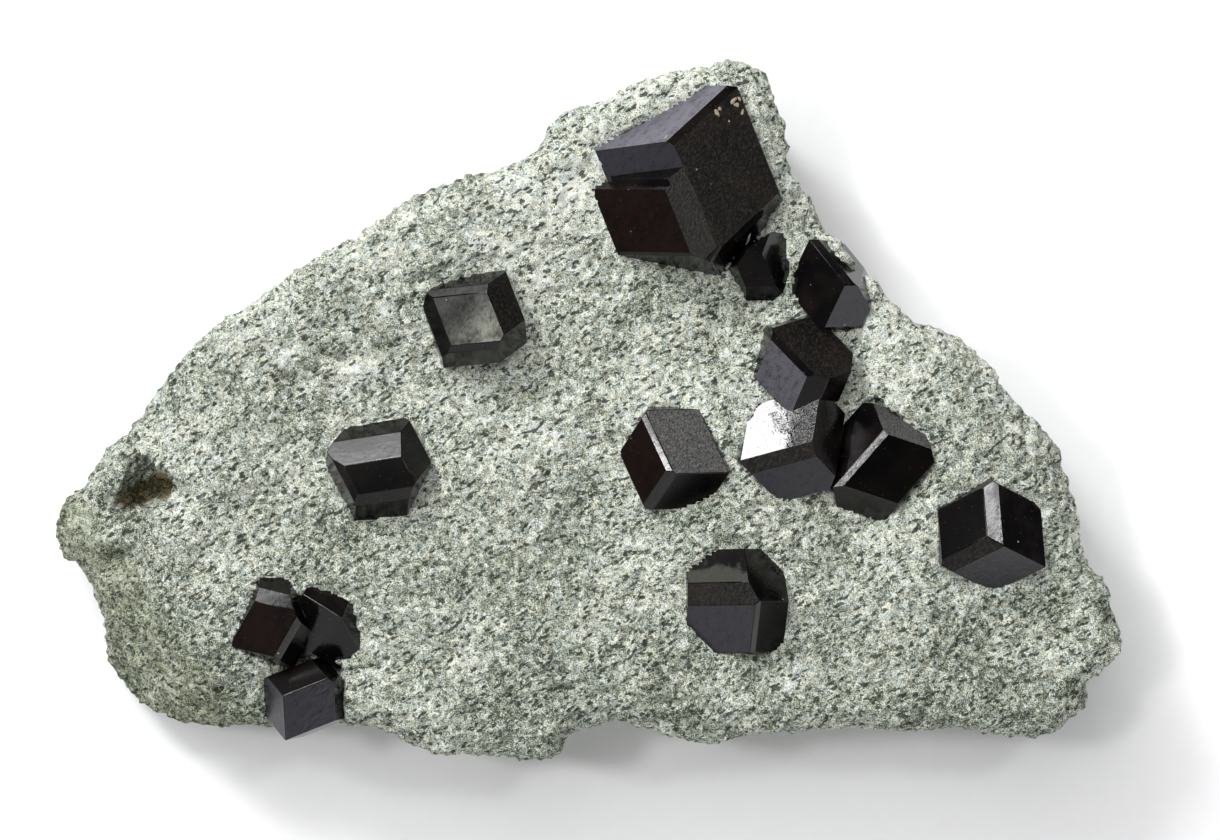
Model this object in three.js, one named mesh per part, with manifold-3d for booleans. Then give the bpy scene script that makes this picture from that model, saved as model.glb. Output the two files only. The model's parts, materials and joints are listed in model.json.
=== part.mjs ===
// Garnet in matrix: black rhombic garnet crystals standing on one slab of fine grey-green rock.
// Millimetres. The slab lies on its flat back, +Z is the crystal side, +X the long way of the slab.
import * as THREE from 'three';
import Module from 'manifold-3d';

const wasm = await Module();
wasm.setup();

// Slab
const slabLevel = 17;
const edgeRings = 25;
const slabMiddle = [3.3, -4.3];
const rimRound = 3.2;
const rimFall = 1.7;
const pocketGap = 0.3;
const squareReach = 60;
const undulation = [[15, 0.55], [6.5, 0.4], [2.9, 0.28]];
const sideSteps = [[0.86, -0.1], [0.66, 0.3], [0.46, 1.0], [0.27, 1.9], [0.1, 2.9], [0, 4.2]];
const sideRoughness = 0.55;
const sideCurve = { short: 2.3, long: 6, step: 1.7, lift: 0.5, liftRun: 3 };
const topSideShare = 0.3;
const leftFallStart = -34;
const leftFall = 4.6;
const leftFallRun = 22;
const turnedFaceCorner = [-49.5, -15.2];
const turnedFaceDown = [-0.78, -0.63];
const turnedFaceSlope = 1.05;
const turnedFaceBend = 1.2;
const ridge = { from: [-46, -13.6], rise: 0.12, wide: 1.3, high: 0.9, end: -34, fade: 6 };
// Small hollows in the rock, and one lump, which has a depth below nothing
const dents = [
  { at: [-48.3, -15.6], wide: 1.9, deep: 1.5 },
  { at: [-46.3, -5.4], wide: 0.8, deep: 0.9 },
  { at: [25.9, 15.2], wide: 1.8, deep: -2.9 },
];
const rockReach = 1.5;
const openWeight = 0.06;
const pit = { at: [-45, -8.3, 13], turn: 24, lean: 38, spin: 12, size: 2.7 };
const pitGroove = { at: [-48, -9.8, 14], turn: 14, lean: 30, spin: 20, size: 1.7 };

// Edge of the slab as seen from above, from the left tip round by the top
const slabEdge = [
  [-56, -12], [-55.5, -10.5], [-52, -7.5], [-50, -4], [-48.5, -3.5], [-43.5, 3], [-38.5, 8.5],
  [-34.5, 10.5], [-30, 14], [-21.5, 19], [-18, 21.5], [-13, 23.5], [-7.5, 24.5], [-4.5, 26.5],
  [-4.5, 28.5], [-2, 30.5], [1, 31], [6, 33.5], [9.5, 34.5], [12.5, 35], [15, 36], [18, 34.5],
  [20.5, 28], [20.5, 24], [23.5, 20.5], [23.5, 18.5], [25.5, 17.5], [28, 14], [30, 13], [30, 11.5],
  [33.5, 8.5], [36.5, 8], [41.5, 4.5], [42.5, 1.5], [48, -3.5], [49, -6.5], [50, -9], [51, -15.5],
  [53.5, -18], [53.5, -20], [55, -23.5], [55, -25], [50.5, -28.5], [51, -30], [48.5, -33],
  [46.5, -33.5], [41, -33.5], [38, -32.5], [33.5, -33], [27.5, -32.5], [16, -33.5], [12.5, -34.5],
  [6.5, -33], [3, -31.5], [1, -32.5], [-2.5, -33], [-3, -35.5], [-4.5, -36], [-9, -35.5], [-15, -35.5],
  [-19, -34], [-21.5, -32.5], [-26.5, -32.5], [-35.5, -33], [-43, -33], [-49, -31],
  [-51.5, -26], [-51.5, -21], [-53.5, -16.5], [-55.5, -16], [-56, -14],
];

// Garnets. Every crystal is a rhombic dodecahedron: `size` is the distance from its middle to a face,
// `faces` names the faces that sit nearer or farther, and the narrow ones that bevel an edge.
const largeGarnet = { at: [10, 24.3, 13.7], turn: -77, lean: -52, spin: 56, size: 8, rock: [17, -0.09, 0.08] };
const largeUpperBlock = {
  ...largeGarnet,
  faces: { 110: 7.1, '011': 7.2, 917: 7.1, 121: 8, '0-11': 7.4, '01-1': 8.3, '10-1': 9.7, '1-10': 10.1, '2-11': 10.4 },
};
const largeMiddleBlock = {
  ...largeGarnet,
  faces: { 110: 7.1, 981: 7.4, '011': 4.8, 101: 8.2, '0-11': 6.9, '01-1': 8, '10-1': 9.4, '1-10': 9, '2-11': 9 },
};
const largeLowerBlock = {
  ...largeGarnet,
  faces: { 110: 7.1, 981: 7.4, '011': 4.3, 101: 8.8, '0-11': 9.2, '01-1': 8, '10-1': 9.4, '1-10': 10.3, '2-11': 10.9 },
};
const largeRightBlock = {
  ...largeGarnet,
  faces: { 110: 6.7, '011': 5, 101: 5, '01-1': 8.1, '10-1': 10.1, '1-10': 7.3, '11-2': 9.2 },
};
const blackBesideLarge = {
  at: [18.1, 14.8, 15.9], turn: -48, lean: -28, spin: 26, size: 3, rock: [16.3, -0.15, 0],
  faces: { 110: 1.6, 101: 2.5, '011': 3.1, '1-10': 3.9, '2-11': 2.9, '10-1': 2.8, '01-1': 3.2, '0-11': 3.4, '-211': 2.5 },
};
const rightRim = {
  at: [25.1, 12.6, 14.6], turn: 122, lean: -31, spin: 50, size: 4, rock: [16.2, 0.1, 0.1],
  faces: { 110: 3, 101: 3.4, '011': 4, 112: 4.2, '1-10': 4.6, '1-12': 2.7, '0-13': 3.1, '10-1': 4.2, '01-1': 4.1, '-101': 4.4, '-110': 4.6 },
};
const chainMiddle = {
  at: [21.6, 4.7, 15.2], turn: 130, lean: -48, spin: 50, size: 4.4, rock: [16.9, 0.05, 0],
  faces: { 110: 4.3, 101: 3.7, '011': 5.3, 211: 4.4, 121: 4.9, '1-10': 4.5, '01-1': 4.6, '0-1-1': 4 },
};
const brightTop = {
  at: [21, -4.3, 15.2], turn: -41, lean: -28, spin: 40, size: 4.4, rock: [17.1, -0.08, 0],
  faces: { 110: 4.9, 101: 4.3, '011': 4.3, 112: 4.5, '10-1': 4, '1-10': 4.6, '01-1': 6.2, '0-11': 5, '-101': 5.6, '-110': 5.7 },
};
const whiteEdge = {
  at: [30.6, -5, 14.8], turn: -1, lean: -40, spin: 24, size: 4.2, rock: [16, 0.15, 0.3],
  faces: { 110: 4.3, 101: 3.4, '011': 4.4, 112: 4.3, '1-12': 4.7, '1-10': 4.3, '0-11': 6.3, '-101': 6.4, '-1-10': 6.5, '-110': 5.2 },
};
const centre = {
  at: [8.8, -5.3, 15], turn: -12, lean: -40, spin: 61, size: 4.7, rock: [17.3, 0.2, 0.12],
  faces: { 110: 4.5, 101: 4.7, '011': 4.5, 112: 5, 121: 5, '10-1': 5, '1-10': 5.3, '01-1': 5.7, '-110': 5.2, '-101': 4.4, '0-11': 4.5 },
};
const farRight = {
  at: [41.5, -13.3, 14.6], turn: -140, lean: -35, spin: 31, size: 4.7, rock: [16.4, -0.2, 0.2],
  faces: { 110: 4.1, 101: 5.1, '011': 4.2, 112: 4.9, 211: 4.8, '10-1': 4.8, '1-10': 6, '-101': 5.3, '0-11': 6, '-110': 4.8 },
};
const lowerMiddle = {
  at: [15.2, -19.7, 15.7], turn: 33, lean: -81, spin: 12, size: 4.7, rock: [16.9, -0.05, 0],
  faces: { 110: 4.6, 101: 4, '1-10': 5.1, '10-1': 4.9, '2-11': 5.1, 211: 4.3, '011': 5.3, '01-1': 5.2, '0-11': 5.3 },
};
const upperLeft = {
  at: [-11.4, 9.8, 16], turn: 155, lean: -24, spin: 79, size: 4.3, rock: [15.8, -0.1, 0.2],
  faces: { 110: 3.5, 101: 3.6, '011': 4.6, 211: 3.8, '12-1': 4.8, '21-1': 4.3, '01-1': 5.2, '10-1': 5, '1-10': 4.5, '0-11': 3.3, '-101': 3.9, '-110': 5.4 },
};
const leftMiddle = {
  at: [-20.9, -6.1, 15.8], turn: 158, lean: -37, spin: 83, size: 4.4, rock: [16.2, 0.1, 0],
  faces: { 110: 4, 101: 4.2, '011': 4.7, 211: 3.9, '12-1': 4.6, '21-1': 4.8, '1-10': 5.4, '0-11': 4, '-101': 3.8, '10-1': 4.8, '01-1': 4.6 },
};
const pairLeft = {
  at: [-33, -21.4, 14.5], turn: 23, lean: -58, spin: 1, size: 4.2, rock: [17, -0.1, -0.25],
  faces: { 101: 3.3, 110: 4.2, '011': 2.7, 211: 3.9, '2-11': 4.5, '0-11': 4.4, '1-10': 4.9 },
};
const pairRight = {
  at: [-27.2, -22.1, 14.5], turn: -15, lean: -72, spin: 28, size: 3.8, rock: [16.3, 0.1, 0.3],
  faces: { 101: 2.3, 110: 3.8, '2-11': 2.8, '0-11': 3.2, '01-1': 3.3, '1-10': 4.6, '10-1': 4 },
};
const bottomRim = {
  at: [-29.9, -30.5, 14], turn: 33, lean: -54, spin: 31, size: 3.6, rock: [14.7, 0.3, 0],
  faces: { 101: 2.9, 110: 3.9, '011': 2.7, '0-11': 3.1, '1-10': 4.7, '10-1': 5.2, '-101': 3, '-110': 4.2 },
};

// One solid for every garnet, or group of garnets grown together
const garnetNodes = {
  garnet_large: [largeUpperBlock, largeMiddleBlock, largeLowerBlock, largeRightBlock, blackBesideLarge],
  garnet_chain: [rightRim, chainMiddle, brightTop, whiteEdge],
  garnet_centre: [centre],
  garnet_far_right: [farRight],
  garnet_lower_middle: [lowerMiddle],
  garnet_upper_left: [upperLeft],
  garnet_left_middle: [leftMiddle],
  garnet_lower_left: [pairLeft, pairRight, bottomRim],
};

function lerp(a, b, t) {
  return a + (b - a) * t;
}

function smooth(t) {
  const k = Math.min(1, Math.max(0, t));
  return k * k * (3 - 2 * k);
}

// Repeatable scatter value between -1 and 1 for a whole-number cell
function cellValue(i, j) {
  let n = Math.imul(i + 512, 374761393) ^ Math.imul(j + 512, 668265263);
  n = Math.imul(n ^ (n >>> 13), 1274126177);
  return ((n ^ (n >>> 16)) >>> 0) / 2147483648 - 1;
}

function waves(x, y) {
  const i = Math.floor(x);
  const j = Math.floor(y);
  const u = smooth(x - i);
  const v = smooth(y - j);
  const low = lerp(cellValue(i, j), cellValue(i + 1, j), u);
  const high = lerp(cellValue(i, j + 1), cellValue(i + 1, j + 1), u);
  return lerp(low, high, v);
}

// The twelve faces of a rhombic dodecahedron, by the usual three-figure face name
function dodecahedronFaces() {
  const names = [];
  for (const a of [1, -1]) {
    for (const b of [1, -1]) {
      names.push(`${a}${b}0`, `${a}0${b}`, `0${a}${b}`);
    }
  }
  return names;
}

function faceDirection(name) {
  const figures = name.match(/-?\d/g).map(Number);
  return new THREE.Vector3(...figures).normalize();
}

function crystalPlanes(crystal, grow = 0) {
  const { turn, lean, spin, size, faces = {} } = crystal;
  const bend = new THREE.Euler(...[spin, lean, turn].map(THREE.MathUtils.degToRad), 'ZYX');
  const middle = new THREE.Vector3(...crystal.at);
  const names = new Set([...dodecahedronFaces(), ...Object.keys(faces)]);
  return [...names].map((name) => {
    const normal = faceDirection(name).applyEuler(bend);
    return new THREE.Plane(normal, -(normal.dot(middle) + (faces[name] ?? size) + grow));
  });
}

// A wide square lying in the plane, wound so that it faces outward
function squareOn(plane, middle) {
  const foot = plane.projectPoint(middle, new THREE.Vector3());
  const helper = Math.abs(plane.normal.z) < 0.9 ? new THREE.Vector3(0, 0, 1) : new THREE.Vector3(1, 0, 0);
  const across = helper.clone().cross(plane.normal).normalize();
  const up = plane.normal.clone().cross(across);
  const corners = [[1, 1], [-1, 1], [-1, -1], [1, -1]];
  return corners.map(([a, b]) => foot.clone().addScaledVector(across, a * squareReach).addScaledVector(up, b * squareReach));
}

// Keeps the part of a flat ring of points that lies behind the plane
function trimRing(ring, plane) {
  const kept = [];
  ring.forEach((point, i) => {
    const next = ring[(i + 1) % ring.length];
    const here = plane.distanceToPoint(point);
    const there = plane.distanceToPoint(next);
    if (here <= 0) kept.push(point);
    if ((here < 0 && there > 0) || (here > 0 && there < 0)) {
      kept.push(point.clone().lerp(next, here / (here - there)));
    }
  });
  return kept;
}

function solidFrom(points, triangles) {
  const vertProperties = new Float32Array(points.flatMap((p) => [p.x, p.y, p.z]));
  const triVerts = new Uint32Array(triangles.flat());
  return new wasm.Manifold(new wasm.Mesh({ numProp: 3, vertProperties, triVerts }));
}

function convexSolid(planes, middle) {
  const sameSpot = 0.01;
  const points = [];
  const indexOf = (p) => {
    const found = points.findIndex((q) => q.distanceTo(p) < sameSpot);
    return found >= 0 ? found : points.push(p) - 1;
  };
  const triangles = [];
  planes.forEach((plane, i) => {
    let ring = squareOn(plane, middle);
    planes.forEach((other, j) => {
      if (j !== i) ring = trimRing(ring, other);
    });
    const around = ring.map(indexOf).filter((index, k, all) => index !== all[(k + 1) % all.length]);
    for (let k = 2; k < around.length; k += 1) {
      triangles.push([around[0], around[k - 1], around[k]]);
    }
  });
  return solidFrom(points, triangles);
}

function garnetSolid(crystals, grow = 0) {
  const solids = crystals.map((crystal) => convexSolid(crystalPlanes(crystal, grow), new THREE.Vector3(...crystal.at)));
  return solids.reduce((joined, solid) => joined.add(solid));
}

// Point on the edge of the slab, `part` of the way round by length
function edgePoint(part) {
  const lengths = slabEdge.map(([x, y], i) => {
    const [nx, ny] = slabEdge[(i + 1) % slabEdge.length];
    return Math.hypot(nx - x, ny - y);
  });
  let left = (part % 1) * lengths.reduce((sum, length) => sum + length, 0);
  let i = 0;
  while (left > lengths[i]) {
    left -= lengths[i];
    i += 1;
  }
  const [x, y] = slabEdge[i];
  const [nx, ny] = slabEdge[(i + 1) % slabEdge.length];
  return [lerp(x, nx, left / lengths[i]), lerp(y, ny, left / lengths[i])];
}

// How far the turned-down face at the lower left lies under the ordinary level
function turnedFaceDrop(x, y) {
  const beyond = (x - turnedFaceCorner[0]) * turnedFaceDown[0] + (y - turnedFaceCorner[1]) * turnedFaceDown[1];
  return turnedFaceSlope * turnedFaceBend * Math.log1p(Math.exp(beyond / turnedFaceBend));
}

// Close to a crystal the rock follows the crystal's own `rock`: its height there and its rise along x and y
function rockRoundCrystals(x, y, openLevel) {
  let weights = openWeight;
  let sum = openWeight * openLevel;
  for (const crystal of Object.values(garnetNodes).flat()) {
    const [level, riseX, riseY] = crystal.rock;
    const dx = x - crystal.at[0];
    const dy = y - crystal.at[1];
    const weight = Math.exp(-(dx * dx + dy * dy) / (rockReach * crystal.size) ** 2);
    weights += weight;
    sum += weight * (level + riseX * dx + riseY * dy);
  }
  return sum / weights;
}

function frontLevel(x, y, toEdge) {
  let level = slabLevel;
  for (const [reach, height] of undulation) {
    level += height * waves(x / reach, y / reach);
  }
  level -= leftFall * smooth((leftFallStart - x) / leftFallRun);
  level = rockRoundCrystals(x, y, level);
  level -= turnedFaceDrop(x, y);
  const offRidge = (y - ridge.from[1] - ridge.rise * (x - ridge.from[0])) / ridge.wide;
  level += ridge.high * Math.exp(-offRidge * offRidge) * smooth((ridge.end - x) / ridge.fade);
  level -= rimFall * (1 - smooth(toEdge / rimRound)) ** 2;
  for (const dent of dents) {
    const aside = Math.hypot(x - dent.at[0], y - dent.at[1]) / dent.wide;
    level -= dent.deep * Math.exp(-aside * aside);
  }
  return level;
}

function slabSolid() {
  const [cx, cy] = slabMiddle;
  const points = [new THREE.Vector3(cx, cy, frontLevel(cx, cy, 99))];
  const triangles = [];
  const ringStart = (ring) => (ring === 0 ? 0 : 1 + 3 * ring * (ring - 1));
  for (let ring = 1; ring <= edgeRings; ring += 1) {
    for (let k = 0; k < 6 * ring; k += 1) {
      const [ex, ey] = edgePoint(k / (6 * ring));
      const out = ring / edgeRings;
      const x = lerp(cx, ex, out);
      const y = lerp(cy, ey, out);
      const toEdge = (1 - out) * Math.hypot(ex - cx, ey - cy);
      points.push(new THREE.Vector3(x, y, frontLevel(x, y, toEdge)));
    }
    for (let sector = 0; sector < 6; sector += 1) {
      for (let k = 0; k < ring; k += 1) {
        const outer = (j) => ringStart(ring) + ((sector * ring + j) % (6 * ring));
        const inner = (j) => (ring === 1 ? 0 : ringStart(ring - 1) + ((sector * (ring - 1) + j) % (6 * (ring - 1))));
        triangles.push([inner(k), outer(k), outer(k + 1)].reverse());
        if (k < ring - 1) triangles.push([inner(k), outer(k + 1), inner(k + 1)].reverse());
      }
    }
  }
  const around = 6 * edgeRings;
  let above = ringStart(edgeRings);
  sideSteps.forEach(([heightPart, inset], step) => {
    const below = points.length;
    for (let k = 0; k < around; k += 1) {
      const [ex, ey] = edgePoint(k / around);
      const top = points[ringStart(edgeRings) + k].z;
      const short = waves(k / sideCurve.short + 40, step * sideCurve.step + 9);
      const rough = sideRoughness * (short + waves(k / sideCurve.long + 70, step));
      const reach = Math.hypot(ex - cx, ey - cy);
      const scale = 1 - (inset + rough * (step === 0 ? topSideShare : 1)) / reach;
      const lift = heightPart > 0 ? sideCurve.lift * waves(k / sideCurve.liftRun + 11, step + 5) : 0;
      points.push(new THREE.Vector3(lerp(cx, ex, scale), lerp(cy, ey, scale), top * heightPart + lift));
    }
    for (let k = 0; k < around; k += 1) {
      const next = (k + 1) % around;
      triangles.push([above + k, below + k, below + next].reverse());
      triangles.push([above + k, below + next, above + next].reverse());
    }
    above = below;
  });
  const back = points.push(new THREE.Vector3(cx, cy, 0)) - 1;
  for (let k = 0; k < around; k += 1) {
    triangles.push([above + k, back, above + ((k + 1) % around)].reverse());
  }
  return solidFrom(points, triangles);
}

function matrixSolid() {
  let slab = slabSolid();
  for (const crystals of Object.values(garnetNodes)) {
    slab = slab.subtract(garnetSolid(crystals, pocketGap));
  }
  return slab.subtract(garnetSolid([pit])).subtract(garnetSolid([pitGroove]));
}

function meshFrom(solid, name, material) {
  const { vertProperties, triVerts, numProp } = solid.getMesh();
  const geometry = new THREE.BufferGeometry();
  const positions = new Float32Array((vertProperties.length / numProp) * 3);
  for (let i = 0; i < positions.length / 3; i += 1) {
    for (let axis = 0; axis < 3; axis += 1) {
      positions[3 * i + axis] = vertProperties[numProp * i + axis];
    }
  }
  geometry.setAttribute('position', new THREE.BufferAttribute(positions, 3));
  geometry.setIndex([...triVerts]);
  geometry.computeVertexNormals();
  const mesh = new THREE.Mesh(geometry, material);
  mesh.name = name;
  return mesh;
}

function rockMaterial() {
  return new THREE.MeshStandardMaterial({ color: 0x8f978b, roughness: 0.95, metalness: 0, flatShading: true });
}

function garnetMaterial() {
  return new THREE.MeshStandardMaterial({ color: 0x17100e, roughness: 0.18, metalness: 0, flatShading: true });
}

const group = new THREE.Group();
group.name = 'garnet_in_matrix';
group.add(meshFrom(matrixSolid(), 'matrix', rockMaterial()));
for (const [name, crystals] of Object.entries(garnetNodes)) {
  group.add(meshFrom(garnetSolid(crystals), name, garnetMaterial()));
}

const box = new THREE.Box3().setFromObject(group);
const middle = box.getCenter(new THREE.Vector3());
group.position.set(-middle.x, -middle.y, -box.min.z);
group.updateMatrixWorld(true);

export default group;
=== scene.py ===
"""Garnet in matrix: black rhombic garnet crystals standing on one slab of fine grey-green rock.

Lengths are in millimetres, and MM turns them into metres where an object, a light or the camera is made.
"""
import json
import math
from collections import Counter

import bmesh
import bpy
import numpy as np
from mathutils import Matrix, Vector
from mathutils.bvhtree import BVHTree

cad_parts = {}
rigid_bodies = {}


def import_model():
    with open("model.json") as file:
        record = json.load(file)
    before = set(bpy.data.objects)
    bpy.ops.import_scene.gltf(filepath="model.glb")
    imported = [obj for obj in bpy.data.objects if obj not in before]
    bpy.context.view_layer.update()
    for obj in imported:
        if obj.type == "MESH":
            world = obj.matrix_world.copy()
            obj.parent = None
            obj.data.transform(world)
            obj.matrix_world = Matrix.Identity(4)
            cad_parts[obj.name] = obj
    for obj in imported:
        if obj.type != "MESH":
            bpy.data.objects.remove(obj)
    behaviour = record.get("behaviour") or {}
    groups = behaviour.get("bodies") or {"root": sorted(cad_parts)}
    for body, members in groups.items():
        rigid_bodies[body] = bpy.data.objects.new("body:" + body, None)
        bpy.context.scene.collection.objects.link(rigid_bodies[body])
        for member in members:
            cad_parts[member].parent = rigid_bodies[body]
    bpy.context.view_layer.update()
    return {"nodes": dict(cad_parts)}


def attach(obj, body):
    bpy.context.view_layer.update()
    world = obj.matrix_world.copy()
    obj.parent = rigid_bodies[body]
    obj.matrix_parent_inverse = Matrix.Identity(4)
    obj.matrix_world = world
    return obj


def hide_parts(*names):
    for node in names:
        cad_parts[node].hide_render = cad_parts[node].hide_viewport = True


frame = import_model()

MM = 0.001

# Rays that look for a surface start above the whole part and go down
ABOVE_ALL = 100
DOWN = Vector((0, 0, -1))

# Where the camera stands over the slab, its lens, and the nearest that it sees
CAMERA_OVER = (2.78, -1.02)
CAMERA_HEIGHT = 310.0
CAMERA_LENS = 84.9
SENSOR_WIDTH = 36
NEAR_LIMIT = 10.0

# The room
FLOOR_SIDE = 3000.0
FLOOR_SHADES = ((0.90, 0.90, 0.91, 1), (0.93, 0.93, 0.94, 1))
WORLD_COLOUR = (0.97, 0.98, 1.0, 1)
WORLD_STRENGTH = 0.06
LIGHT_DISTANCE = 900.0
# Lights: name, azimuth from +X, elevation, width, height, brightness, whether the garnets mirror it
LIGHTS = [
    ("window", 127, 37, 190, 190, 32.0, True),
    ("window_glow", 116, 33, 360, 330, 5.2, True),
    ("left_lamp", 166, 61, 110, 110, 42.0, True),
    ("right_lamp", 44, 63, 110, 110, 25.0, True),
    ("front_card_left", 225, 19, 655, 800, 0.75, True),
    ("front_card", 265, 19, 655, 800, 0.65, True),
    ("front_card_right", 303, 19, 655, 800, 1.6, True),
    ("key", 118, 58, 800, 800, 2.4, False),
]

# Corners of a node's mesh that are closer than this are one corner
WELD_REACH = 0.02

# Rock
GARNET_NODES = [name for name in frame["nodes"] if name != "matrix"]
# What belongs to a socket: how near to a garnet it is, and how squarely it looks at it (1 is straight)
SOCKET_REACH = 0.8
SOCKET_FACING = 0.5
# How far the rock stays under an open face of a garnet, where it would cover the face by less than the
# limit
CONTACT_DEPTH = 0.1
COVER_LIMIT = 0.6
# Step of the rock's mesh. Faces whose normal has more than FINE_SLOPE along Z are cut in four
ROCK_STEP = 0.66
FINE_SLOPE = 0.25
# Points above this height are on the side with the garnets
GARNET_SIDE = 6
# How far the pale rim round a garnet reaches
RIM_REACH = 0.55
# Close to a garnet the relief of the rock is low, and past this distance it is full
CALM_SHARE = 0.3
CALM_REACH = 1.3
# Tints of the rock, and the turn from X in which its grains and flakes lie
COOL_TINT = (0.94, 1.0, 1.06, 1)
WARM_TINT = (1.05, 1.015, 0.91, 1)
OLIVE_TINT = (0.74, 0.75, 0.65, 1)
RUST_TINT = (0.24, 0.19, 0.12, 1)
GRAIN_TURN = 30
# Shades of the rock: how light each is, from 0 to 1, and its red, green and blue
ROCK_SHADES = [
    (0.06, (60, 67, 57)), (0.27, (114, 121, 106)), (0.5, (167, 174, 160)), (0.72, (205, 208, 198)),
    (0.94, (240, 241, 235)),
]
FLAKE_SHADE = (40, 47, 37)
# Relief of the rock: name, pattern, size of the lumps, how far they stand out
ROCK_RELIEF = [
    ("lumps", "CLOUDS", 3.4, 0.3), ("knobs", "CLOUDS", 1.5, 0.3),
    ("crumbs", "VORONOI", 1.1, -0.3), ("grains", "CLOUDS", 0.75, 0.3),
]
# Little ledges: where each starts and ends along X and Y, and its depth. The rock is higher on the left
# of the way from start to end
LEDGES = [
    ((-31.9, 3.1), (-29.1, 3.9), 0.6), ((-23.1, 2.1), (-21.5, 2.8), 0.45),
    ((-4.5, -28.5), (-0.5, -28.1), 0.5), ((0.1, -28.9), (3.8, -28.6), 0.5),
    ((5.3, -30.2), (10.5, -29.4), 0.5), ((-2.0, -31.2), (0.2, -31.3), 0.35),
    ((-46.6, -5.5), (-44.9, -4.7), 0.5), ((-49.4, -14.9), (-46.8, -14.5), 0.4),
    ((39.2, 2.5), (40.3, 4.0), 0.4), ((43.8, -1.5), (44.8, -0.3), 0.4),
    ((-28.4, 15.2), (-27.2, 16.3), 0.4), ((-17.2, 21.0), (-15.9, 21.8), 0.4),
]
LEDGE_WIDTH = 0.3
# How far a ledge sways from its line and how quickly, the share of its way that it fades over, and the
# share of its way that it runs on past both ends
LEDGE_SWAY = 0.12
LEDGE_WAVES = 9
LEDGE_FADE = 0.25
LEDGE_OVERRUN = 0.1
# Where the furrow and the lip of a ledge lie beside its line, and the lip's height as a share of the depth
FURROW_ASIDE = -0.1
LIP_ASIDE = 0.5
LIP_HEIGHT = 0.35
# Blots of another shade on the side with the garnets: middle, half length, half width, turn from X
PALE_BLOTS = [
    (-20.3, 10.0, 1.8, 1.2, 45), (-16.9, 7.6, 1.3, 0.6, -20), (-29.8, 5.9, 2.4, 0.9, 25),
    (-23.7, 4.3, 2.2, 0.6, 10), (-41.3, -9.7, 1.4, 0.6, 80), (-39.1, -9.1, 2.2, 0.6, 57),
    (-43.6, -3.3, 2.4, 0.9, 20), (-48.8, -12.9, 1.6, 0.8, 60), (-47.9, -9.7, 1.0, 0.5, 20),
    (-1.5, 22.5, 2.6, 1.4, 30), (-4.0, 14.0, 2.0, 1.0, 60), (22.0, -27.5, 3.0, 1.2, 10),
]
# Dark blots: painted shade in the gaps between garnets and in the furrows of the ledges, and other darker
# spots of the rock
PAINTED_SHADE_AND_DARK_BLOTS = [
    (-9.4, -2.2, 0.6, 0.9, 0), (39.4, 3.3, 0.9, 1.0, 0), (44.3, -0.8, 0.9, 0.8, 0),
    (45.0, -31.3, 1.6, 0.6, 20), (49.6, -28.5, 1.0, 0.8, 0), (-16.6, 21.4, 1.0, 0.6, 40),
    (-27.8, 15.8, 0.8, 0.6, 45), (-48.9, -14.6, 2.0, 0.7, 0), (10.5, -31.0, 4.0, 0.6, 8),
    (-31.0, -31.8, 2.6, 0.6, 0), (-28.8, -20.0, 1.5, 0.7, 115), (-29.0, -25.6, 1.3, 1.0, 0),
]
RUST_BLOTS = [(-43.6, -7.7, 1.8, 1.5, 30), (-45.9, -8.6, 2.6, 1.2, 25)]
# Gaps between garnets where the rock lies deeper, as blots, and by how much
SUNKEN_GAPS = [
    (-28.8, -20.0, 1.5, 0.55, 115), (-29.0, -25.6, 1.5, 1.1, 0), (-26.3, -25.9, 1.7, 0.45, -30),
]
GAP_DEPTH = 1.7
# Chips of rock: place along X and Y, half length, half width, turn from X
TAN_CHIPS = [
    (13.6, 30.0, 0.4, 0.2, 20), (13.9, 30.4, 0.25, 0.2, 80), (15.3, 31.3, 0.5, 0.2, 120),
    (15.6, 30.9, 0.3, 0.2, 60), (15.9, 31.5, 0.28, 0.16, 10), (16.2, 30.2, 0.35, 0.16, 150),
    (8.4, 27.4, 0.3, 0.15, 40), (14.8, 29.2, 0.12, 0.09, 10),
]
WHITE_CHIPS = [(-28.4, -25.1, 0.7, 0.3, 80), (16.8, 17.3, 0.9, 0.14, 45)]
# A chip's thickness as a share of its width, and the size and height of its lumps
CHIP_THICKNESS = 0.6
CHIP_LUMPS = 0.3
CHIP_RELIEF = 0.35
TAN_SHADES = ((0.13, 0.10, 0.06, 1), (0.50, 0.43, 0.30, 1))
WHITE_SHADES = ((0.35, 0.35, 0.34, 1), (0.75, 0.75, 0.72, 1))

# Garnet. Edges that turn by more than WORN_ANGLE are worn, EDGE_WEAR wide. Faces that differ in their
# slope by less than FLAT_ANGLE become one
EDGE_WEAR = 0.07
WORN_ANGLE = math.radians(8)
FLAT_ANGLE = math.radians(1)
BLACK = (0.0022, 0.0018, 0.0022, 1)
RED_BLACK = (0.0062, 0.0042, 0.0035, 1)
GARNET_IOR = 1.45
# Specks on the garnets: distance between them, reach as a share of it, share without one, shade
SPECKS = [(0.45, 0.16, 0.55, (0.07, 0.045, 0.025, 1)), (1.7, 0.07, 0.6, (0.40, 0.39, 0.36, 1))]
# What belongs to one flat face: how near to its plane it is, and how squarely it looks its way
PLANE_REACH = 0.15
PLANE_FACING = 0.998
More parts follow.
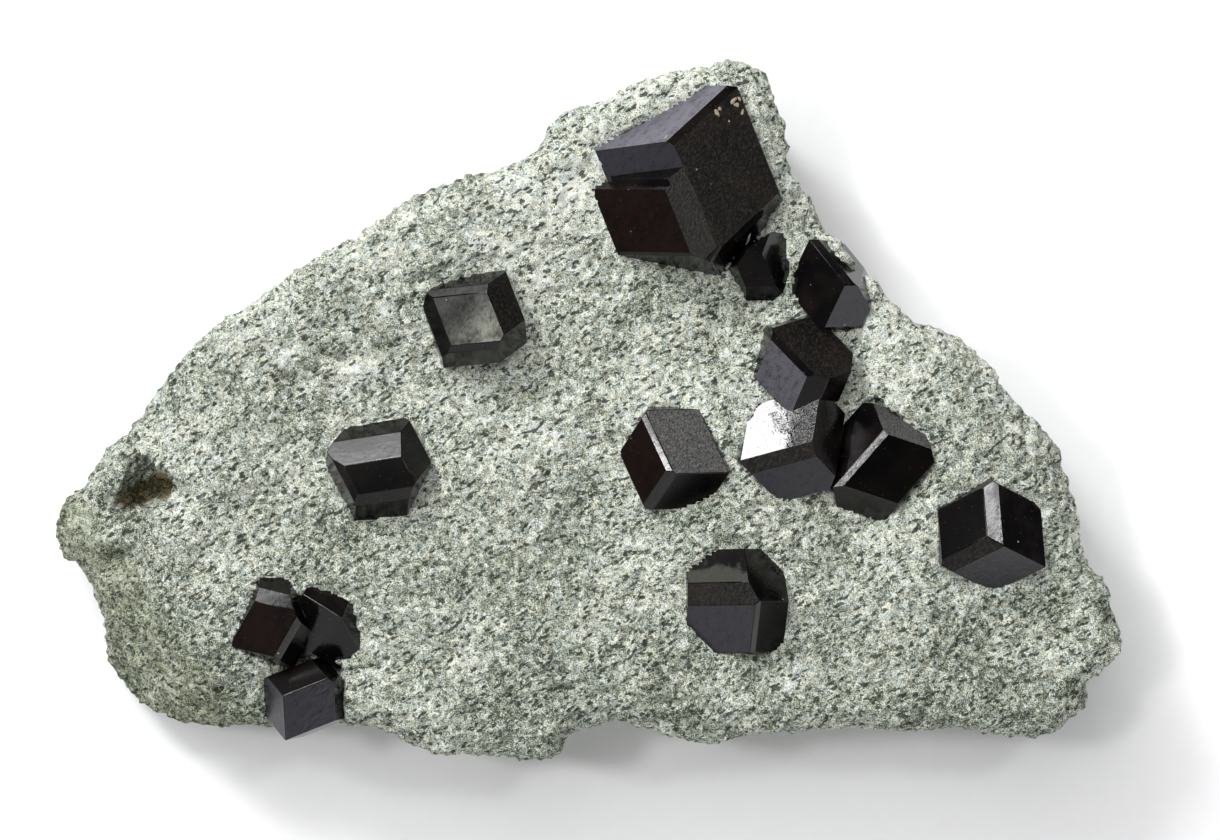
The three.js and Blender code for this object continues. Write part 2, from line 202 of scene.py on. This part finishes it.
# Garnet faces with a shade over them: finish, shade, size of its pattern, where the pattern starts and
# is full, roughness, sheen, and the places along X and Y that the faces are at
COVERED_FACES = [
    # The shades of the lavender and front faces are painted reflections of the lights
    ("lavender_sheen", (0.125, 0.12, 0.148, 1), 0.8, 0.1, 0.6, 0.35, 0.5, [(6.8, 28.8), (10.9, 30.3)]),
    ("dim_lavender_sheen", (0.080, 0.077, 0.093, 1), 0.8, 0.1, 0.6, 0.35, 0.5, [(20.2, 3.5)]),
    ("front_sheen", (0.02, 0.019, 0.026, 1), 0.8, 0.1, 0.6, 0.25, 0.5, [
        (27.2, 10.6), (42.4, -15.8), (13.9, -21.8), (-27.8, -31.1), (20.7, -7.1), (-31.5, -30.2),
        (4.8, 25.6),
    ]),
    ("rusty_garnet", (0.010, 0.0040, 0.0025, 1), 0.9, 0.3, 0.7, 0.4, 0.12, [
        (5.8, 19.2), (6.3, -4.6), (-31.2, -21.5),
    ]),
    ("dusty_garnet", (0.026, 0.023, 0.018, 1), 0.3, 0.4, 0.75, 0.3, 0.5, [
        (14.9, 25.2), (11.2, 18.0), (19.5, -5.1), (13.4, -18.7), (38.7, -14.4), (-7.6, 10.6), (23.2, 6.1),
    ]),
    ("etched_garnet", (0.24, 0.238, 0.232, 1), 0.2, 0.2, 1.1, 0.42, 0.5, [(10.6, -2.7), (32.3, -1.5)]),
]
# Places of the faces with the other finishes
DEEP_BLACK_FACES = [
    (18.0, 14.2), (11.1, -8.1), (30.9, -6.1), (-20.4, -6.6), (-14.8, 8.9), (8.9, 15.0), (-20.0, -9.6),
    (19.2, -21.8), (18.1, 11.8), (23.5, 2.3), (38.3, -11.2), (-28.2, -27.7),
]
GREEN_FACES = [(-9.3, 8.0), (-12.4, 12.2)]
OLIVE_FACES = [(13.4, -16.7)]
HAMMERED_FACES = [(19.5, -2.0)]
# The deep black is the garnets' black times this
DEEP_BLACK = (0.5, 0.5, 0.5, 1)
# The two shades that the green and the olive faces are blended from
GREEN_SHADES = ((0.045, 0.0465, 0.042, 1), (0.225, 0.234, 0.192, 1))
OLIVE_SHADES = ((0.034, 0.036, 0.029, 1), (0.062, 0.064, 0.053, 1))


def colour(red, green, blue):
    """A colour as seen on a screen, 0 to 255, as the linear values that a shader takes."""
    def linear(value):
        part = value / 255
        return part / 12.92 if part <= 0.04045 else ((part + 0.055) / 1.055) ** 2.4
    return (linear(red), linear(green), linear(blue), 1.0)


def set_stops(elements, stops):
    """Gives a colour ramp its stops, each a value and a colour."""
    elements[0].position, elements[0].color = stops[0]
    elements[-1].position, elements[-1].color = stops[-1]
    for position, shade in stops[1:-1]:
        elements.new(position).color = shade


class Value:
    """A socket of a shader, for use in sums."""

    def __init__(self, finish, socket):
        self.finish = finish
        self.socket = socket

    def math(self, operation, *values):
        return self.finish.node("ShaderNodeMath", {"operation": operation}, dict(enumerate(values)))

    def __add__(self, other):
        return self.math("ADD", self, other)

    def __sub__(self, other):
        return self.math("SUBTRACT", self, other)

    def __rsub__(self, other):
        return self.math("SUBTRACT", other, self)

    def __mul__(self, other):
        return self.math("MULTIPLY", self, other)

    __radd__ = __add__

    def step(self, low, high):
        """0 below low and 1 above high, with a soft step between them."""
        ends = {"Value": self, "From Min": low, "From Max": high}
        return self.finish.node("ShaderNodeMapRange", {"interpolation_type": "SMOOTHSTEP"}, ends)


class Finish:
    """A material under construction. Its patterns read object coordinates in millimetres.

    Sizes of patterns are in millimetres too.
    """

    def __init__(self, name):
        self.material = bpy.data.materials.new(name)
        self.material.use_nodes = True
        self.tree = self.material.node_tree
        self.tree.nodes.clear()
        place = self.node("ShaderNodeTexCoord", output="Object")
        self.place = self.scaled(place, 1 / MM)

    @property
    def x(self):
        return self.part(self.place, 0)

    @property
    def y(self):
        return self.part(self.place, 1)

    def node(self, kind, settings=None, inputs=None, output=0):
        """Adds a node and gives one of its outputs. An input is a value, or a Value to link."""
        made = self.tree.nodes.new(kind)
        for name, value in (settings or {}).items():
            if name == "stops":
                set_stops(made.color_ramp.elements, value)
            else:
                setattr(made, name, value)
        for name, value in (inputs or {}).items():
            if isinstance(value, Value):
                self.tree.links.new(value.socket, made.inputs[name])
            else:
                made.inputs[name].default_value = value
        return None if output is None else Value(self, made.outputs[output])

    def scaled(self, vector, scale):
        return self.node("ShaderNodeVectorMath", {"operation": "SCALE"}, {0: vector, "Scale": scale})

    def moved(self, shift, stretch=(1, 1, 1), turn=0.0):
        """The place, turned about Z, stretched and shifted, so that patterns differ from each other."""
        turned = {"Vector": self.place, "Rotation": (0, 0, -math.radians(turn))}
        place = self.node("ShaderNodeMapping", None, turned)
        moved = {"Vector": place, "Location": shift, "Scale": stretch}
        return self.node("ShaderNodeMapping", None, moved)

    def noise(self, size, place=None, detail=3.0, rough=0.55):
        inputs = {"Vector": place or self.place, "Scale": 1 / size, "Detail": detail, "Roughness": rough}
        return self.node("ShaderNodeTexNoise", None, inputs)

    def cells(self, size, place, output):
        """Cells of that size: the Distance from the middle of each, or a random Color for each."""
        return self.node("ShaderNodeTexVoronoi", None, {"Vector": place, "Scale": 1 / size}, output)

    def marked(self, name):
        """The value that the points of the piece carry under this name."""
        return self.node("ShaderNodeAttribute", {"attribute_name": name}, None, "Fac")

    def part(self, vector, axis):
        """The part of a vector along X, Y or Z (0, 1 or 2), or one channel of a colour."""
        return self.node("ShaderNodeSeparateXYZ", None, {0: vector}, axis)

    def blend(self, factor, first, second):
        return self.node("ShaderNodeMix", {"data_type": "RGBA"}, {0: factor, 6: first, 7: second}, 2)

    def multiply(self, factor, first, second):
        settings = {"data_type": "RGBA", "blend_type": "MULTIPLY"}
        return self.node("ShaderNodeMix", settings, {0: factor, 6: first, 7: second}, 2)

    def ramp(self, value, stops):
        """A colour for every value, blended from the stops, each a value and a colour."""
        return self.node("ShaderNodeValToRGB", {"stops": stops}, {0: value})

    def bump(self, height, reach):
        """The normal of a relief. `height` is 0 to 1 and `reach` is its full depth in millimetres."""
        return self.node("ShaderNodeBump", None, {"Height": height, "Distance": reach * MM})

    def surface(self, **inputs):
        """Ends the material with a shader whose inputs are named here with _ for spaces."""
        values = {name.replace("_", " "): value for name, value in inputs.items()}
        shader = self.node("ShaderNodeBsdfPrincipled", None, values)
        self.node("ShaderNodeOutputMaterial", None, {"Surface": shader}, None)
        return self.material


def select_only(piece):
    bpy.ops.object.select_all(action="DESELECT")
    piece.select_set(True)
    bpy.context.view_layer.objects.active = piece


def edit(piece, *steps):
    """Runs the steps in edit mode with the whole mesh selected. A step is an operator and its settings."""
    select_only(piece)
    bpy.ops.object.mode_set(mode="EDIT")
    bpy.ops.mesh.select_mode(type="FACE")
    bpy.ops.mesh.select_all(action="SELECT")
    for operator, settings in steps:
        operator(**settings)
    bpy.ops.object.mode_set(mode="OBJECT")


def edit_faces(piece, chosen, *steps):
    """Runs the steps in edit mode with only the chosen faces selected."""
    select_only(piece)
    bpy.ops.object.mode_set(mode="EDIT")
    bpy.ops.mesh.select_mode(type="FACE")
    bpy.ops.mesh.select_all(action="DESELECT")
    bpy.ops.object.mode_set(mode="OBJECT")
    piece.data.polygons.foreach_set("select", np.asarray(chosen, bool))
    bpy.ops.object.mode_set(mode="EDIT")
    for operator, settings in steps:
        operator(**settings)
    bpy.ops.object.mode_set(mode="OBJECT")


def finish_with(piece, kind, **settings):
    """Adds a modifier and applies it."""
    select_only(piece)
    modifier = piece.modifiers.new(kind.title(), kind)
    for name, value in settings.items():
        setattr(modifier, name, value)
    bpy.ops.object.modifier_apply(modifier=modifier.name)


def merged_copy(node, name):
    """A loose copy of a node of the frame with its doubled corners merged."""
    piece = bpy.data.objects.new(name, frame["nodes"][node].data.copy())
    bpy.context.scene.collection.objects.link(piece)
    piece.data.materials.clear()
    select_only(piece)
    bpy.ops.mesh.customdata_custom_splitnormals_clear()
    edit(piece, (bpy.ops.mesh.remove_doubles, {"threshold": WELD_REACH * MM}))
    return piece


def points_of(piece):
    """The places of a piece's points in millimetres."""
    places = np.empty(len(piece.data.vertices) * 3)
    piece.data.vertices.foreach_get("co", places)
    return places.reshape(-1, 3) / MM


def put_points(piece, places):
    piece.data.vertices.foreach_set("co", (places * MM).ravel())
    piece.data.update()


def surface_of(piece):
    """A search tree over the faces of one piece."""
    corners = [point.co.copy() for point in piece.data.vertices]
    return BVHTree.FromPolygons(corners, [face.vertices[:] for face in piece.data.polygons])


def garnet_surfaces():
    """One search tree over the faces of every garnet."""
    corners, faces = [], []
    for node in GARNET_NODES:
        mesh = frame["nodes"][node].data
        start = len(corners)
        corners.extend(point.co.copy() for point in mesh.vertices)
        faces.extend([start + i for i in face.vertices] for face in mesh.polygons)
    return BVHTree.FromPolygons(corners, faces)


def part_the_holes(rock):
    """Takes away the faces round each point where open edges cross, so that every hole has one edge."""
    while True:
        uses = Counter(key for face in rock.data.polygons for key in face.edge_keys)
        open_ends = Counter(point for key, count in uses.items() if count == 1 for point in key)
        crossings = {point for point, count in open_ends.items() if count > 2}
        if not crossings:
            return
        at_crossing = [not crossings.isdisjoint(face.vertices) for face in rock.data.polygons]
        edit_faces(rock, at_crossing, (bpy.ops.mesh.delete, {"type": "FACE"}))


def close_holes(rock):
    """Closes every hole with one face that turns the right way, and cuts those faces into triangles."""
    shell = bmesh.new()
    shell.from_mesh(rock.data)
    onward = {}
    for edge in shell.edges:
        if edge.is_boundary:
            corner = edge.link_loops[0]
            onward[corner.link_loop_next.vert] = corner.vert
    lids = []
    while onward:
        ring = [next(iter(onward))]
        while ring[-1] in onward:
            ring.append(onward.pop(ring[-1]))
        lids.append(shell.faces.new(ring[:-1]))
    bmesh.ops.triangulate(shell, faces=lids, ngon_method="EAR_CLIP")
    shell.to_mesh(rock.data)
    shell.free()


def close_sockets(rock, garnets):
    """Takes the walls of the sockets round the garnets away and closes the rock across them."""
    beside = [garnets.find_nearest(point.co)[3] < SOCKET_REACH * MM for point in rock.data.vertices]
    in_socket = []
    for face in rock.data.polygons:
        nearest = garnets.find_nearest(face.center)[0]
        faces_garnet = (nearest - face.center).normalized().dot(face.normal) > SOCKET_FACING
        in_socket.append(faces_garnet and all(beside[point] for point in face.vertices))
    edit_faces(rock, in_socket, (bpy.ops.mesh.delete, {"type": "FACE"}))
    part_the_holes(rock)
    # Only what hangs together with the underside stays
    lowest = min(rock.data.polygons, key=lambda face: face.center.z).index
    edit_faces(
        rock, [face.index == lowest for face in rock.data.polygons],
        (bpy.ops.mesh.select_linked, {}),
        (bpy.ops.mesh.select_all, {"action": "INVERT"}),
        (bpy.ops.mesh.delete, {"type": "FACE"}),
    )
    close_holes(rock)


def mark_open_rock(rock, garnets):
    """Weighs the points for the relief by their distance from the garnets, and gives the distances."""
    distances = np.array([garnets.find_nearest(point.co)[3] for point in rock.data.vertices]) / MM
    share = CALM_SHARE + (1 - CALM_SHARE) * np.clip(distances / CALM_REACH, 0, 1)
    group = rock.vertex_groups.new(name="open")
    for index, weight in enumerate(share):
        group.add([index], weight, "REPLACE")
    return distances


def blots(places, spots):
    """How deep each place lies in any of the spots: 1 in the middle, 0 outside and on the other side."""
    depth = np.zeros(len(places))
    for x, y, length, width, turn in spots:
        cosine, sine = math.cos(math.radians(turn)), math.sin(math.radians(turn))
        dx, dy = places[:, 0] - x, places[:, 1] - y
        along = (dx * cosine + dy * sine) / length
        aside = (dy * cosine - dx * sine) / width
        depth = np.maximum(depth, np.exp(-(along ** 2 + aside ** 2)))
    return depth * (places[:, 2] > GARNET_SIDE)


def mark(piece, name, values):
    """Keeps a value for every point of the piece, for its finish to read."""
    attribute = piece.data.attributes.new(name, "FLOAT", "POINT")
    attribute.data.foreach_set("value", values)


def carve_ledges(rock):
    """Cuts a small furrow with a raised lip beside it along each ledge."""
    places = points_of(rock)
    garnet_side = places[:, 2] > GARNET_SIDE
    for start, end, depth in LEDGES:
        start, way = np.array(start), np.subtract(end, start)
        from_start = places[:, :2] - start
        along = from_start @ way / (way @ way)
        aside = (way[0] * from_start[:, 1] - way[1] * from_start[:, 0]) / math.hypot(*way)
        aside = aside + LEDGE_SWAY * np.sin(along * LEDGE_WAVES)
        from_end = np.minimum(along, 1 - along) + LEDGE_OVERRUN
        share = np.clip(from_end / LEDGE_FADE, 0, 1)
        furrow = np.exp(-((aside - FURROW_ASIDE) / LEDGE_WIDTH) ** 2)
        lip = LIP_HEIGHT * np.exp(-((aside - LIP_ASIDE) / LEDGE_WIDTH) ** 2)
        places[:, 2] -= depth * garnet_side * share * (furrow - lip)
    put_points(rock, places)


def free_the_garnets(rock, ground):
    """Keeps the rock just under every garnet face that is open from above, also where the ground rose."""
    garnets = garnet_surfaces()
    slab = surface_of(frame["nodes"]["matrix"])
    places = points_of(rock)
    for place in places:
        above = Vector((place[0], place[1], ABOVE_ALL)) * MM
        garnet, _, _, _ = garnets.ray_cast(above, DOWN)
        if garnet is None or garnet.z / MM - place[2] > CONTACT_DEPTH:
            continue
        level, _, _, _ = ground.ray_cast(above, DOWN)
        wall, _, _, _ = slab.ray_cast(above, DOWN)
        open_face = wall is None or wall.z < garnet.z
        if level is None or level.z - garnet.z < open_face * COVER_LIMIT * MM:
            place[2] = garnet.z / MM - CONTACT_DEPTH
    put_points(rock, places)


def roughen(rock, name, kind, size, height):
    """Pushes the surface in and out by a pattern of that size and full height."""
    pattern = bpy.data.textures.new(name, kind)
    pattern.noise_scale = size * MM
    finish_with(
        rock, "DISPLACE", texture=pattern, texture_coords="LOCAL", vertex_group="open",
        strength=height * MM * 2, mid_level=0.5,
    )


def refine_upward_faces(rock):
    slopes = np.empty(len(rock.data.polygons) * 3)
    rock.data.polygons.foreach_get("normal", slopes)
    in_four = {"number_cuts": 1, "quadcorner": "INNERVERT"}
    edit_faces(rock, slopes[2::3] > FINE_SLOPE, (bpy.ops.mesh.subdivide, in_four))


def sink_gaps(rock):
    places = points_of(rock)
    places[:, 2] -= GAP_DEPTH * blots(places, SUNKEN_GAPS)
    put_points(rock, places)


def mark_shades(rock, distances):
    """Keeps for every point how deep it lies in the rims and blots of another shade. The dark blots are
    partly painted shade, in the gaps between garnets and in the ledges.
    """
    places = points_of(rock)
    mark(rock, "near_garnet", np.exp(-((distances / RIM_REACH) ** 2)))
    mark(rock, "pale", blots(places, PALE_BLOTS))
    mark(rock, "dark", blots(places, PAINTED_SHADE_AND_DARK_BLOTS))
    mark(rock, "rust", blots(places, RUST_BLOTS))


def lift_to_floor(rock):
    """Moves what the relief pushed through the floor back up to it."""
    places = points_of(rock)
    places[:, 2] = np.maximum(places[:, 2], 0)
    put_points(rock, places)


def model_rock():
    garnets = garnet_surfaces()
    rock = merged_copy("matrix", "rock")
    close_sockets(rock, garnets)
    ground = surface_of(rock)
    finish_with(rock, "REMESH", mode="VOXEL", voxel_size=ROCK_STEP * MM, adaptivity=0)
    refine_upward_faces(rock)
    distances = mark_open_rock(rock, garnets)
    for name, kind, size, height in ROCK_RELIEF:
        roughen(rock, name, kind, size, height)
    carve_ledges(rock)
    sink_gaps(rock)
    free_the_garnets(rock, ground)
    mark_shades(rock, distances)
    lift_to_floor(rock)
    select_only(rock)
    bpy.ops.object.shade_smooth()
    return rock


def model_garnet(node):
    """A garnet with its flat faces whole and its edges a little worn."""
    garnet = merged_copy(node, node.replace("garnet", "crystal"))
    edit(garnet, (bpy.ops.mesh.dissolve_limited, {"angle_limit": FLAT_ANGLE}))
    finish_with(
        garnet, "BEVEL", width=EDGE_WEAR * MM, segments=2, limit_method="ANGLE", angle_limit=WORN_ANGLE,
    )
    select_only(garnet)
    bpy.ops.object.shade_smooth()
    finish_with(garnet, "WEIGHTED_NORMAL", keep_sharp=True)
    return garnet


def first_under(surfaces, x, y):
    """The highest of the pieces at a place, with the point and the slope that it has there.

    `surfaces` has each piece with its search tree.
    """
    above = Vector((x, y, ABOVE_ALL)) * MM
    found = []
    for piece, surface in surfaces:
        point, slope, _, _ = surface.ray_cast(above, DOWN)
        if point is not None:
            found.append((point, slope, piece))
    return max(found, key=lambda hit: hit[0].z)


def paint_faces(surfaces, places, finish):
    """Gives the flat garnet face at each place a finish of its own."""
    for x, y in places:
        point, slope, crystal = first_under(surfaces, x, y)
        crystal.data.materials.append(finish)
        for face in crystal.data.polygons:
            in_plane = abs((face.center - point).dot(slope)) < PLANE_REACH * MM
            if in_plane and face.normal.dot(slope) > PLANE_FACING:
                face.material_index = len(crystal.data.materials) - 1


def model_chip(point, slope, length, width, turn, lumps):
    """One flat lumpy chip that lies at a point of a surface with that slope."""
    bpy.ops.object.select_all(action="DESELECT")
    bpy.ops.mesh.primitive_ico_sphere_add(subdivisions=2, radius=1 * MM)
    chip = bpy.context.active_object
    chip.scale = (length, width, CHIP_THICKNESS * width)
    chip.rotation_euler = (0, 0, math.radians(turn))
    bpy.ops.object.transform_apply()
    chip.rotation_euler = slope.to_track_quat("Z", "Y").to_euler()
    chip.location = point
    bpy.ops.object.transform_apply()
    finish_with(
        chip, "DISPLACE", texture=lumps, texture_coords="LOCAL", strength=CHIP_RELIEF * MM, mid_level=0.5,
    )
    return chip


def model_chips(name, chips, surfaces):
    """Chips that lie on whatever is under them, joined into one piece."""
    lumps = bpy.data.textures.new(name, "CLOUDS")
    lumps.noise_scale = CHIP_LUMPS * MM
    made = []
    for x, y, length, width, turn in chips:
        point, slope, _ = first_under(surfaces, x, y)
        made.append(model_chip(point, slope, length, width, turn, lumps))
    bpy.ops.object.select_all(action="DESELECT")
    for chip in made:
        chip.select_set(True)
    bpy.context.view_layer.objects.active = made[0]
    bpy.ops.object.join()
    made[0].name = name
    return made[0]


def rock_grain(f):
    """The single grains of the rock, a little crooked: a random tone and a random hue for each."""
    shake = f.node("ShaderNodeTexNoise", None, {"Vector": f.place, "Scale": 3.0, "Detail": 2.0}, "Color")
    inputs = {0: f.place, 1: f.scaled(shake, 0.5)}
    shaken = f.node("ShaderNodeVectorMath", {"operation": "ADD"}, inputs)
    grain = f.cells(0.36, shaken, "Color")
    return f.part(grain, 0), f.part(grain, 1)


def rock_shade(f, tone, fine, middle):
    """How light the rock is, from its patterns, its rims and its blots, as a colour."""
    patch = f.noise(2.6, f.moved((13, 29, 3)), detail=2.0)
    broad = f.noise(9.0, f.moved((3, 19, 8)), detail=2.0)
    light = 0.522 + (tone - 0.5) * 0.5 + (fine - 0.5) * 2.7 + (middle - 0.5) * 0.6
    light = light + (patch - 0.5) * 0.6 + (broad - 0.5) * 0.65
    # The dark blots paint shade into the gaps between garnets and the furrows of the ledges, and darken
    # other spots
    light = light + f.marked("near_garnet") * 0.1 + f.marked("pale") * 0.26 - f.marked("dark") * 0.3
    # Lighter toward +Y, darker toward the left end
    light = light + (f.y + 12) * 0.003 - (0 - f.x).step(8, 30) * 0.045
    shade = f.ramp(light, [(level, colour(*shade)) for level, shade in ROCK_SHADES])
    # The lower left corner is olive
    olive = (f.x * -0.78 + f.y * -0.63 + (broad - 0.5) * 6).step(44.5, 47.5)
    return f.multiply(olive * 0.9, shade, OLIVE_TINT)


def rock_finish():
    f = Finish("grey_green_rock")
    tone, hue = rock_grain(f)
    fine = f.noise(0.125, f.moved((7, 3, 1)), detail=2.0, rough=0.6)
    middle = f.noise(0.6, f.moved((31, 17, 5), (0.85, 1.25, 1.0), GRAIN_TURN), detail=2.0)
    ground = f.multiply(1.0, rock_shade(f, tone, fine, middle), f.blend(hue, COOL_TINT, WARM_TINT))

    rust = f.marked("rust")
    streaks = f.noise(0.5, f.moved((2, 5, 11), (0.5, 2.0, 1.0), GRAIN_TURN), detail=2.0)
    rusty = (rust * 1.6 + (streaks - 0.5) * rust * 2).step(0.2, 0.9)
    ground = f.multiply(rusty, ground, RUST_TINT)

    flake_cells = f.cells(0.42, f.moved((9, 2, 4), (0.75, 1.5, 1.0), GRAIN_TURN), "Color")
    flake = (f.part(flake_cells, 0) - (middle - 0.5) * 0.5).step(0.87, 0.91)
    ground = f.blend(flake * 0.85, ground, colour(*FLAKE_SHADE))

    relief = tone * 0.35 + fine * 0.5 + middle * 0.35 - flake * 0.2
    return f.surface(
        Base_Color=ground, Roughness=0.9, IOR=1.5, Specular_IOR_Level=0.3, Normal=f.bump(relief, 0.3),
    )


def black_garnet(f):
    """The black of the garnets, with fine brown specks and sparse white dust. Also gives its patches."""
    patch = f.noise(4.0, f.moved((3, 8, 5)))
    ground = f.blend(patch.step(0.4, 0.65), BLACK, RED_BLACK)
    for size, reach, rarity, shade in SPECKS:
        place = f.moved((size, 2 * size, 5 * size))
        near = 1 - f.cells(size, place, "Distance").step(0.5 * reach, reach)
        chosen = f.part(f.cells(size, place, "Color"), 0).step(rarity, rarity + 0.05)
        ground = f.blend(near * chosen, ground, shade)
    return ground, patch


def garnet_finish():
    f = Finish("black_garnet")
    ground, patch = black_garnet(f)
    dents = f.noise(0.5, rough=0.6)
    rough = patch.step(0.35, 0.7) * 0.12 + 0.12
    return f.surface(Base_Color=ground, Roughness=rough, IOR=GARNET_IOR, Normal=f.bump(dents, 0.012))


def covered_garnet(name, shade, size, low, high, roughness, sheen):
    """Garnet with a shade over it, in a pattern: black below low, the full shade above high. On the
    lavender and front faces that shade is a painted reflection of the lights.
    """
    f = Finish(name)
    ground, _ = black_garnet(f)
    pattern = f.noise(size, f.moved((1, 6, 2), (0.7, 1.2, 1.0), 55), detail=4.0, rough=0.65)
    fine = f.noise(0.16, detail=2.0)
    cover = (pattern + (fine - 0.5) * 0.7).step(low, high)
    return f.surface(
        Base_Color=f.blend(cover, ground, shade), Roughness=roughness, IOR=GARNET_IOR,
        Specular_IOR_Level=sheen, Normal=f.bump(pattern, 0.04),
    )


def deep_black_garnet():
    f = Finish("deep_black_garnet")
    ground, _ = black_garnet(f)
    return f.surface(
        Base_Color=f.multiply(1.0, ground, DEEP_BLACK), Roughness=0.2, IOR=GARNET_IOR,
        Specular_IOR_Level=0.16,
    )


def green_garnet():
    """Grey-green etched garnet, brighter toward the lower right of the face, with black smudges."""
    f = Finish("green_garnet")
    ground, _ = black_garnet(f)
    pattern = f.noise(0.45, f.moved((1, 6, 2), (0.8, 1.3, 1.0), 60), detail=4.0, rough=0.7)
    smudge = f.noise(1.8, f.moved((4, 1, 9)))
    # Grows toward the lower right from a line across the face
    right_side = (f.x * 0.805 - f.y * 0.594 + 14.9 + (pattern - 0.5) * 1.5).step(-1.0, 3.0)
    shade = f.blend(right_side, *GREEN_SHADES)
    cover = (pattern + (smudge - 0.5) * 1.2).step(0.1, 0.8)
    return f.surface(
        Base_Color=f.blend(cover, ground, shade), Roughness=0.42, IOR=GARNET_IOR,
        Normal=f.bump(pattern, 0.06),
    )


def olive_garnet():
    """An olive band along the foot of the face. The ragged black upper part is a painted reflection of the
    dark neighbouring crystals.
    """
    f = Finish("olive_garnet")
    ground, _ = black_garnet(f)
    ragged = f.noise(1.3, detail=4.0, rough=0.65)
    # Above this ragged edge the face stays black: a painted reflection of the dark neighbouring crystals
    band = ((ragged - 0.5) * 4.0 - f.y).step(15.6, 16.4)
    shade = f.blend(f.noise(0.3, detail=2.0), *OLIVE_SHADES)
    return f.surface(
        Base_Color=f.blend(band, ground, shade), Roughness=0.35, IOR=GARNET_IOR, Specular_IOR_Level=0.2,
    )


def hammered_garnet():
    """A bright smooth face that turns into small dents toward +X."""
    f = Finish("hammered_garnet")
    ground, _ = black_garnet(f)
    dents = f.noise(0.5, rough=0.6)
    side = (f.x + (f.noise(2.0) - 0.5) * 6).step(19.3, 22.8)
    relief = dents * (0.16 + side * 0.84)
    return f.surface(
        Base_Color=ground, Roughness=0.13 + side * 0.07, IOR=GARNET_IOR, Normal=f.bump(relief, 0.16),
    )


def chip_finish(name, dim, bright):
    f = Finish(name)
    tone = f.blend(f.noise(0.4), dim, bright)
    return f.surface(Base_Color=tone, Roughness=0.8, Specular_IOR_Level=0.3)


def floor_finish():
    f = Finish("pale_floor")
    tone = f.blend(f.noise(2.0, detail=2.0), *FLOOR_SHADES)
    return f.surface(Base_Color=tone, Roughness=0.9, Specular_IOR_Level=0.2)


def dress(piece, finish, slot, *nodes):
    """Gives a piece its finish. It stands for the nodes. The slot is not used."""
    piece.data.materials.clear()
    piece.data.materials.append(finish)
    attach(piece, "root")
    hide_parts(*nodes)


def lay_floor():
    bpy.ops.object.select_all(action="DESELECT")
    bpy.ops.mesh.primitive_plane_add(size=FLOOR_SIDE * MM, location=(0, 0, 0))
    floor = bpy.context.active_object
    floor.name = "floor"
    floor.data.materials.append(floor_finish())


def toward(azimuth, elevation):
    """The way from the slab to something in the room. Azimuth is measured from +X."""
    a, e = math.radians(azimuth), math.radians(elevation)
    return Vector((math.cos(a) * math.cos(e), math.sin(a) * math.cos(e), math.sin(e)))


def soft_light(name, azimuth, elevation, width, height, brightness, mirrored):
    """An area light that looks at the slab. Its brightness is its radiance."""
    light = bpy.data.lights.new(name, "AREA")
    light.shape = "RECTANGLE"
    light.size = width * MM
    light.size_y = height * MM
    light.energy = brightness * math.pi * width * height * MM * MM
    lamp = bpy.data.objects.new(name, light)
    bpy.context.scene.collection.objects.link(lamp)
    way = toward(azimuth, elevation)
    lamp.location = way * LIGHT_DISTANCE * MM
    lamp.rotation_euler = way.to_track_quat("Z", "Y").to_euler()
    lamp.visible_glossy = mirrored


def light_the_room():
    world = bpy.data.worlds.new("room")
    bpy.context.scene.world = world
    world.use_nodes = True
    back = world.node_tree.nodes["Background"]
    back.inputs["Color"].default_value = WORLD_COLOUR
    back.inputs["Strength"].default_value = WORLD_STRENGTH
    for light in LIGHTS:
        soft_light(*light)


def place_camera():
    lens = bpy.data.cameras.new("camera")
    lens.lens = CAMERA_LENS
    lens.sensor_width = SENSOR_WIDTH
    lens.clip_start = NEAR_LIMIT * MM
    camera = bpy.data.objects.new("camera", lens)
    bpy.context.scene.collection.objects.link(camera)
    camera.location = (CAMERA_OVER[0] * MM, CAMERA_OVER[1] * MM, CAMERA_HEIGHT * MM)
    bpy.context.scene.camera = camera


def build_specimen():
    """The rock first, then the garnets, and last what lies on them."""
    rock = model_rock()
    dress(rock, rock_finish(), "matrix_rock", "matrix")
    crystals = [model_garnet(node) for node in GARNET_NODES]
    plain_black = garnet_finish()
    for crystal, node in zip(crystals, GARNET_NODES):
        dress(crystal, plain_black, "garnet", node)
    surfaces = [(crystal, surface_of(crystal)) for crystal in crystals]
    for *look, places in COVERED_FACES:
        paint_faces(surfaces, places, covered_garnet(*look))
    paint_faces(surfaces, DEEP_BLACK_FACES, deep_black_garnet())
    paint_faces(surfaces, GREEN_FACES, green_garnet())
    paint_faces(surfaces, OLIVE_FACES, olive_garnet())
    paint_faces(surfaces, HAMMERED_FACES, hammered_garnet())
    surfaces.append((rock, surface_of(rock)))
    tan_chips = model_chips("tan_chips", TAN_CHIPS, surfaces)
    dress(tan_chips, chip_finish("tan_chip", *TAN_SHADES), "matrix_rock")
    white_chips = model_chips("white_chips", WHITE_CHIPS, surfaces)
    dress(white_chips, chip_finish("white_chip", *WHITE_SHADES), "matrix_rock")


place_camera()
build_specimen()
lay_floor()
light_the_room()
bpy.context.scene.view_settings.view_transform = "Standard"
